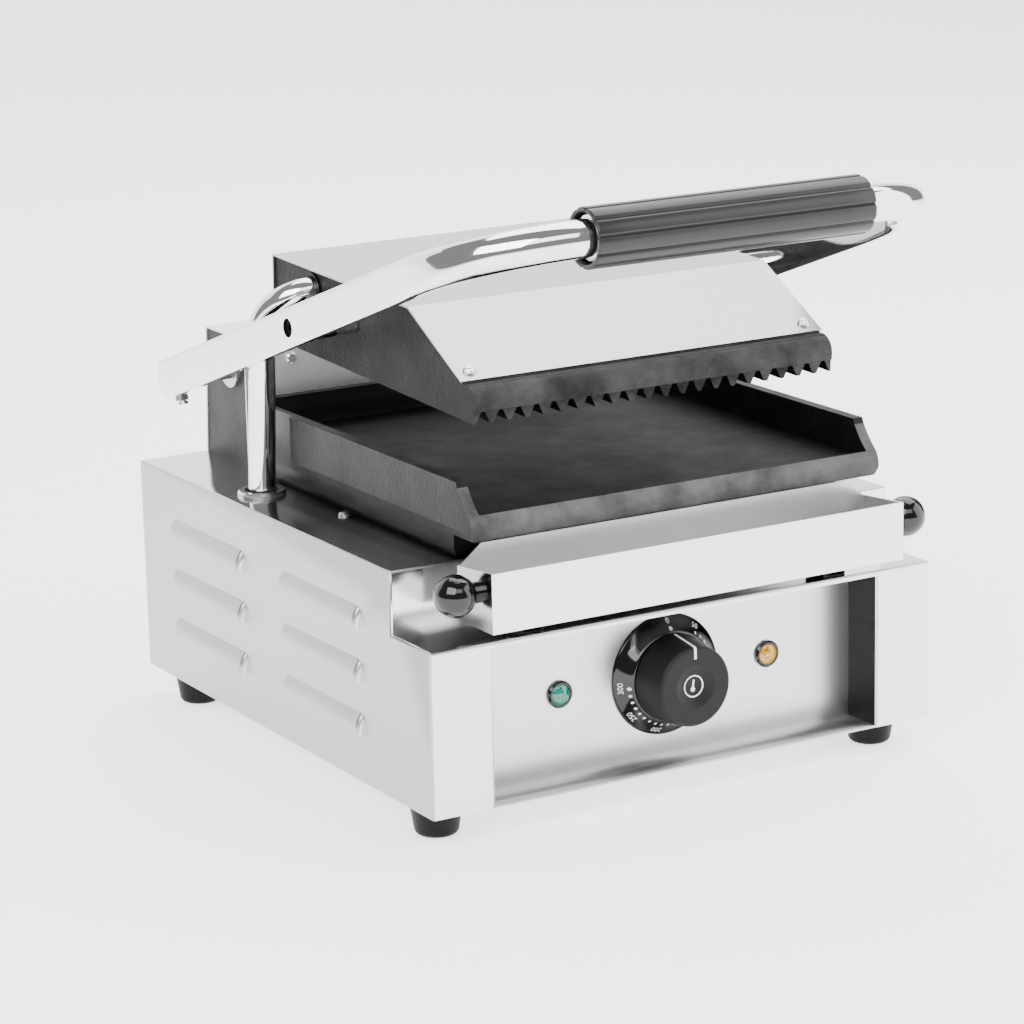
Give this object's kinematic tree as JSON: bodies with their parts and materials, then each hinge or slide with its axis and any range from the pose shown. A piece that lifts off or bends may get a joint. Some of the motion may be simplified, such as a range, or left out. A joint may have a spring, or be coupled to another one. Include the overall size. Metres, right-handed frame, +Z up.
{
  "type": "panini press",
  "caption": "Countertop panini press: ribbed cast upper plate hung in a spring-balanced handle frame over a walled flat plate, on a louvred steel casing with dial, lamps and drip tray.",
  "frame": {"origin": "on the table plane under the middle of the overall size, midway between the sides of the casing", "axes": "+X to the right seen from the front, +Y to the rear away from the user, +Z up"},
  "size_m": [0.3182, 0.4043, 0.3281],
  "materials": {
    "casing_steel": "brushed stainless sheet",
    "panel_steel": "brushed stainless sheet",
    "floor_steel": "plain stainless sheet",
    "housing_steel": "brushed stainless sheet",
    "cover_steel": "brushed stainless sheet",
    "tray_steel": "brushed stainless sheet",
    "shield_steel": "plain sheet, heat stained",
    "screw_steel": "bright zinc-plated steel",
    "bolt_steel": "blackened steel",
    "shaft_steel": "turned steel",
    "spring_steel": "oiled spring wire",
    "bush_steel": "sintered steel",
    "gland_steel": "turned steel",
    "element_steel": "heat-darkened sheath",
    "arm_chrome": "polished chrome plate",
    "tube_chrome": "polished chrome plate",
    "chrome_spacer": "polished chrome plate",
    "ferrule_chrome": "polished chrome plate",
    "lower_iron": "seasoned casting, satin black",
    "upper_iron": "seasoned casting, satin black",
    "bracket_iron": "casting, satin black",
    "foot_rubber": "smooth moulded rubber",
    "grommet_rubber": "smooth moulded rubber",
    "bezel_plastic": "gloss black",
    "ball_plastic": "gloss black",
    "lamp_plastic": "gloss black",
    "knob_plastic": "fine matt black",
    "grip_plastic": "satin black, fluted",
    "inlet_plastic": "matt black",
    "terminal_plastic": "plain natural polyamide",
    "thermostat_case": "ceramic-filled moulding",
    "green_lens": "clear green",
    "amber_lens": "clear amber"
  },
  "bodies": {
    "base": {"casing": "casing_steel", "control_panel": "panel_steel", "floor_plate": "floor_steel", "top_screws": "screw_steel", "foot_front_left": "foot_rubber", "foot_front_right": "foot_rubber", "foot_rear_left": "foot_rubber", "foot_rear_right": "foot_rubber", "foot_screws": "screw_steel", "dial_bezel": "bezel_plastic", "thermostat": "thermostat_case", "green_lamp_body": "lamp_plastic", "green_lamp_lens": "green_lens", "amber_lamp_body": "lamp_plastic", "amber_lamp_lens": "amber_lens", "lower_plate": "lower_iron", "lower_heating_element": "element_steel", "lower_heat_shield": "shield_steel", "lower_plate_studs": "screw_steel", "spring_housing": "housing_steel", "housing_screws": "screw_steel", "hinge_bracket_left": "bracket_iron", "hinge_bracket_right": "bracket_iron", "hinge_bush_left": "bush_steel", "hinge_bush_right": "bush_steel", "balance_spring_left": "spring_steel", "balance_spring_right": "spring_steel", "wiring_tube_gland": "gland_steel", "cord_inlet": "inlet_plastic", "terminal_block": "terminal_plastic"},
    "handle": {"arm_left": "arm_chrome", "arm_right": "arm_chrome", "handle_rod": "arm_chrome", "grip": "grip_plastic", "grip_ferrules": "ferrule_chrome", "hinge_shaft": "shaft_steel", "clamp_screws": "screw_steel", "clamp_nuts": "screw_steel", "spring_collar_left": "screw_steel", "spring_collar_right": "screw_steel", "hanger_bolts": "bolt_steel", "hanger_spacers": "chrome_spacer", "hanger_nuts": "screw_steel"},
    "upper_press": {"upper_plate": "upper_iron", "upper_cover": "cover_steel", "upper_heating_element": "element_steel", "upper_heat_shield": "shield_steel", "cover_screws": "screw_steel", "tube_grommet": "grommet_rubber"},
    "conduit": {"wiring_tube": "tube_chrome", "tube_clip": "screw_steel"},
    "knob": {"thermostat_knob": "knob_plastic", "thermostat_spindle": "screw_steel"},
    "tray": {"drip_tray": "tray_steel", "tray_knob_left": "ball_plastic", "tray_knob_right": "ball_plastic", "tray_studs": "screw_steel"}
  },
  "joints": [
    {"name": "handle_lift", "type": "hinge", "parent": "base", "child": "handle", "pos_m": [0, 0.1512, 0.1942], "axis": [-1, 0, 0], "range_deg": [-18.15, 28]},
    {"name": "plate_tilt", "type": "hinge", "parent": "handle", "child": "upper_press", "pos_m": [0, 0.00548, 0.24523], "axis": [-1, 0, 0], "range_deg": [-31.6, 20.6]},
    {"name": "conduit_swivel", "type": "hinge", "parent": "upper_press", "child": "conduit", "pos_m": [0, 0.04955, 0.25453], "axis": [-1, 0, 0], "range_deg": [-12, 18.5]},
    {"name": "thermostat_turn", "type": "hinge", "parent": "base", "child": "knob", "pos_m": [0, -0.1268, 0.063], "axis": [0, 1, 0], "range_deg": [0, 265]},
    {"name": "tray_slide", "type": "slide", "parent": "base", "child": "tray", "axis": [0, -1, 0], "range_m": [0, 0.06]}
  ],
  "couplings": [
    {"joint": "plate_tilt", "follows": "handle_lift", "ratio": -1.1212},
    {"joint": "conduit_swivel", "follows": "handle_lift", "ratio": 0.65}
  ]
}
